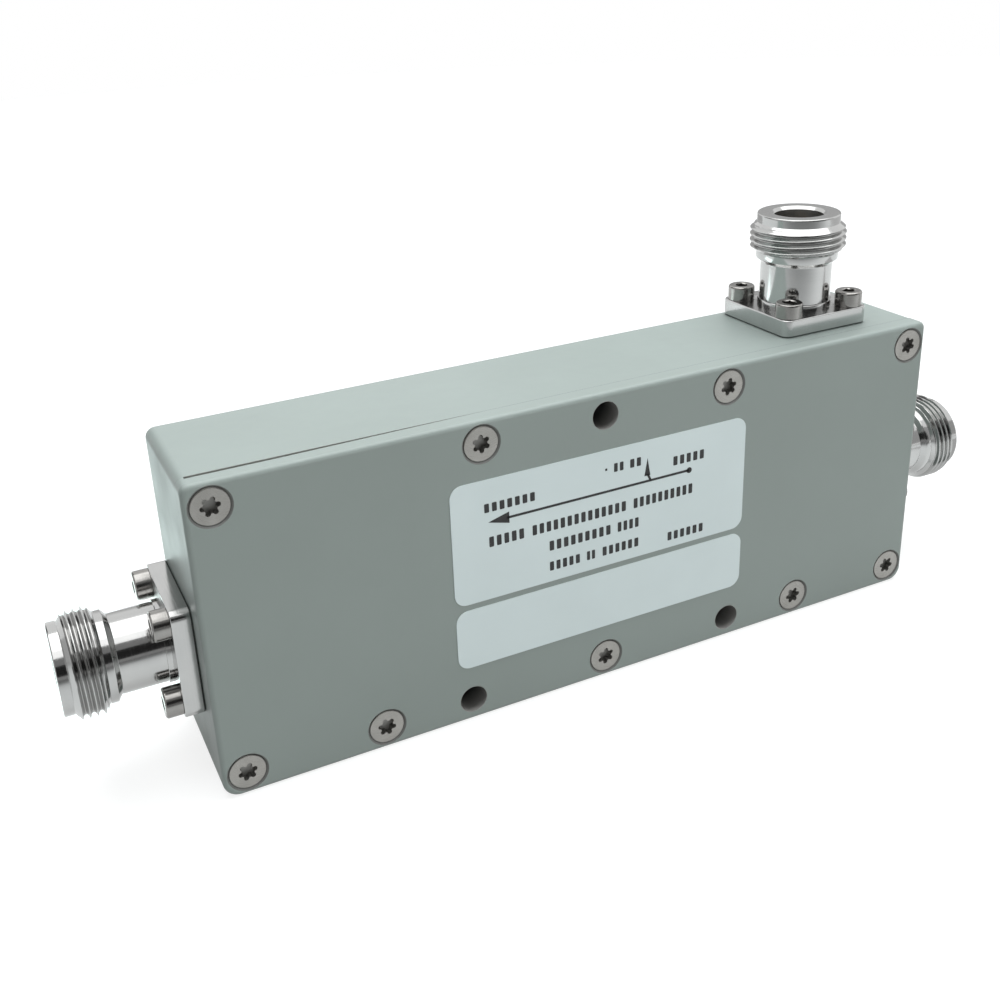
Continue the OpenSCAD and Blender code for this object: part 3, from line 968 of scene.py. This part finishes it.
def shade_floor(tree, output):
    """White paper; towards the camera, where the table is in shade, the bright metal shows it grey."""
    nodes = tree.nodes
    link = tree.links.new
    rays = nodes.new("ShaderNodeLightPath")
    where = nodes.new("ShaderNodeTexCoord")
    away = nodes.new("ShaderNodeVectorMath")
    away.operation = "DOT_PRODUCT"
    away.inputs[1].default_value = AWAY_FROM_CAMERA
    link(where.outputs["Object"], away.inputs[0])
    shade = nodes.new("ShaderNodeMapRange")
    shade.interpolation_type = "SMOOTHSTEP"
    for key, value in (("From Min", -0.28), ("From Max", -0.02), ("To Min", 0.31), ("To Max", 1.08)):
        shade.inputs[key].default_value = value
    link(away.outputs["Value"], shade.inputs["Value"])
    tone = nodes.new("ShaderNodeMix")
    tone.inputs[2].default_value = 1.0
    link(rays.outputs["Is Glossy Ray"], tone.inputs[0])
    link(shade.outputs["Result"], tone.inputs[3])
    paper = nodes.new("ShaderNodeBsdfDiffuse")
    paper_tone = nodes.new("ShaderNodeVectorMath")
    paper_tone.operation = "SCALE"
    paper_tone.inputs[0].default_value = PAPER
    link(tone.outputs[0], paper_tone.inputs["Scale"])
    link(paper_tone.outputs[0], paper.inputs["Color"])
    lift = nodes.new("ShaderNodeMix")
    lift.inputs[2].default_value = 0.0
    lift.inputs[3].default_value = FLOOR_LIFT
    link(seen_straight_or_mirrored(tree), lift.inputs[0])
    mirrored = nodes.new("ShaderNodeMix")
    mirrored.inputs[3].default_value = FLOOR_LIFT_MIRRORED
    link(rays.outputs["Is Glossy Ray"], mirrored.inputs[0])
    link(lift.outputs[0], mirrored.inputs[2])
    glow = nodes.new("ShaderNodeEmission")
    strength = nodes.new("ShaderNodeMath")
    strength.operation = "MULTIPLY"
    link(mirrored.outputs[0], strength.inputs[0])
    link(tone.outputs[0], strength.inputs[1])
    link(strength.outputs[0], glow.inputs["Strength"])
    both = nodes.new("ShaderNodeAddShader")
    link(paper.outputs[0], both.inputs[0])
    link(glow.outputs[0], both.inputs[1])
    link(both.outputs[0], output.inputs["Surface"])


lay_down_tools()
bpy.ops.mesh.primitive_circle_add(vertices=64, radius=1.0, fill_type="NGON", location=(0, 0, 0))
floor = named("pale_floor")
dress(floor, plain_material("floor_paper", shade_floor))


# Places of the cards, in metres
FRONT = -0.6
BACK = 0.27
ON_FLOOR = 0.0005
FRONT_TOP = ((-1.6, FRONT, 0.86), (0.5, FRONT, 0.86), (-1.6, -0.28, 0.95), (0.5, -0.28, 0.95))
SHADE_PATCH_RIGHT = [(x, y, ON_FLOOR) for x, y in ((0.155, -0.1), (0.26, -0.1), (0.081, 0.01), (0.187, 0.01))]


def upright(left, right, y, low, high):
    return (left, y, low), (right, y, low), (left, y, high), (right, y, high)


def side_wall(x, near, far, high):
    return (x, near, 0.0), (x, far, 0.0), (x, near, high), (x, far, high)


def level(left, right, near, far, height):
    return (left, near, height), (right, near, height), (left, far, height), (right, far, height)


def mirrored_card(name, corners, tone, colour=(1, 1, 1)):
    """A glowing card, bright or dark, which only the bright metal shows: a painted highlight or painted
    shade in its reflections.
    """
    lay_down_tools()
    bpy.ops.mesh.primitive_plane_add(size=1, location=(0, 0, 0))
    card = named(name)
    for point, spot in zip(card.data.vertices, corners):
        point.co = spot

    def shade(tree, output):
        glow = tree.nodes.new("ShaderNodeEmission")
        glow.inputs["Color"].default_value = (*colour, 1)
        glow.inputs["Strength"].default_value = tone
        tree.links.new(glow.outputs[0], output.inputs["Surface"])

    dress(card, plain_material(name, shade))
    card.visible_camera = False
    card.visible_diffuse = False
    card.visible_shadow = False
    card.visible_transmission = False


def front_card(name, low, high, tone, left=-1.6, right=0.5):
    """Upright, on the camera's side."""
    mirrored_card(name, upright(left, right, FRONT, low, high), tone)


def back_card(name, low, high, tone, left, right):
    """Upright, behind the object."""
    mirrored_card(name, upright(left, right, BACK, low, high), tone)


front_card("tent_sill_shadow", 0.0, 0.057, 0.2)
front_card("tent_sill", 0.057, 0.137, 0.32)
front_card("tent_opening", 0.137, 0.456, 0.02)
front_card("tent_opening_top", 0.456, 0.86, 0.26)
front_card("tent_side", 0.057, 0.7, 0.45, 0.5, 1.6)
mirrored_card("tent_left_wall", side_wall(-0.7, FRONT, 0.4, 0.9), 0.55)
mirrored_card("tent_ceiling", level(-0.45, 0.85, -0.3, 0.6, 0.96), 2.6)
mirrored_card("tent_front_top", FRONT_TOP, 1.7)
# A painted pool of light on the floor, seen only in the metal
mirrored_card("floor_light_pool_left", level(-0.115, -0.066, 0.014, 0.14, ON_FLOOR), 2.5, (0.86, 1.0, 0.98))
# A painted patch of shade on the floor, seen only in the metal
mirrored_card("floor_shade_patch_right", SHADE_PATCH_RIGHT, 0.6)
# Behind, darker towards the foot: painted shade in the metal's reflections
back_card("tent_back_foot", 0.0, 0.05, 0.52, -0.06, 0.6)
back_card("tent_back_low", 0.05, 0.09, 0.68, -0.06, 0.12)
back_card("tent_back", 0.09, 0.12, 0.85, -0.06, 0.12)
back_card("tent_back_right", 0.05, 0.24, 0.5, 0.12, 0.6)
back_card("tent_back_left", 0.1, 0.32, 0.12, -0.45, -0.115)
# A darker strip at the foot on the right: painted shade in the metal's reflections
mirrored_card("tent_right_foot", side_wall(0.3, -0.2, BACK, 0.05), 0.68)

world = bpy.data.worlds.new("studio")
bpy.context.scene.world = world
world.use_nodes = True
tree = world.node_tree
tree.nodes.clear()
out = tree.nodes.new("ShaderNodeOutputWorld")
ambient = tree.nodes.new("ShaderNodeBackground")
ambient.inputs["Color"].default_value = (0.95, 1.0, 0.99, 1)
ambient.inputs["Strength"].default_value = 0.25
white = tree.nodes.new("ShaderNodeBackground")
white.inputs["Color"].default_value = (1, 1, 1, 1)
white.inputs["Strength"].default_value = 1.0
choose = tree.nodes.new("ShaderNodeMixShader")
tree.links.new(seen_straight_or_mirrored(tree), choose.inputs[0])
tree.links.new(ambient.outputs[0], choose.inputs[1])
tree.links.new(white.outputs[0], choose.inputs[2])
tree.links.new(choose.outputs[0], out.inputs["Surface"])


def soft_light(name, place, aim, size, power, colour):
    """A wide lamp; bright metal shows the cards in its stead."""
    lay_down_tools()
    bpy.ops.object.light_add(type="AREA", location=place)
    lamp = bpy.context.object
    lamp.name = name
    lamp.data.shape = "RECTANGLE"
    lamp.data.size, lamp.data.size_y = size
    lamp.data.energy = power
    lamp.data.color = colour
    lamp.rotation_euler = (Vector(aim) - Vector(place)).to_track_quat("-Z", "Y").to_euler()
    lamp.visible_glossy = False


soft_light("tent_top", (0.2, 0.15, 0.95), (0.2, 0.15, 0), (1.3, 0.9), 19.7, (0.93, 0.985, 1.0))
soft_light("front_fill", (0.18, -0.7, 0.11), (0.07, 0, 0.015), (1.2, 0.4), 4.9, (0.955, 1.0, 0.985))
soft_light("back_fill", (0, 0.7, 0.25), (0, 0, 0.02), (1.2, 0.4), 2.4, (0.95, 1.0, 0.98))

# Camera of the photograph, solved from the body's edges
CAMERA_PLACE = (-0.0850396, -0.1508234, 0.1130726)
CAMERA_TURN = (68.06777, 2.43565, -25.66046)

lay_down_tools()
bpy.ops.object.camera_add(location=CAMERA_PLACE)
camera = bpy.context.object
camera.name = "photo_camera"
camera.rotation_euler = [math.radians(angle) for angle in CAMERA_TURN]
camera.data.sensor_width = 36
camera.data.lens = 41.937
camera.data.shift_x = 0.0224
camera.data.shift_y = -0.08877
camera.data.clip_start = 0.005
bpy.context.scene.camera = camera
bpy.context.scene.view_settings.view_transform = "Standard"
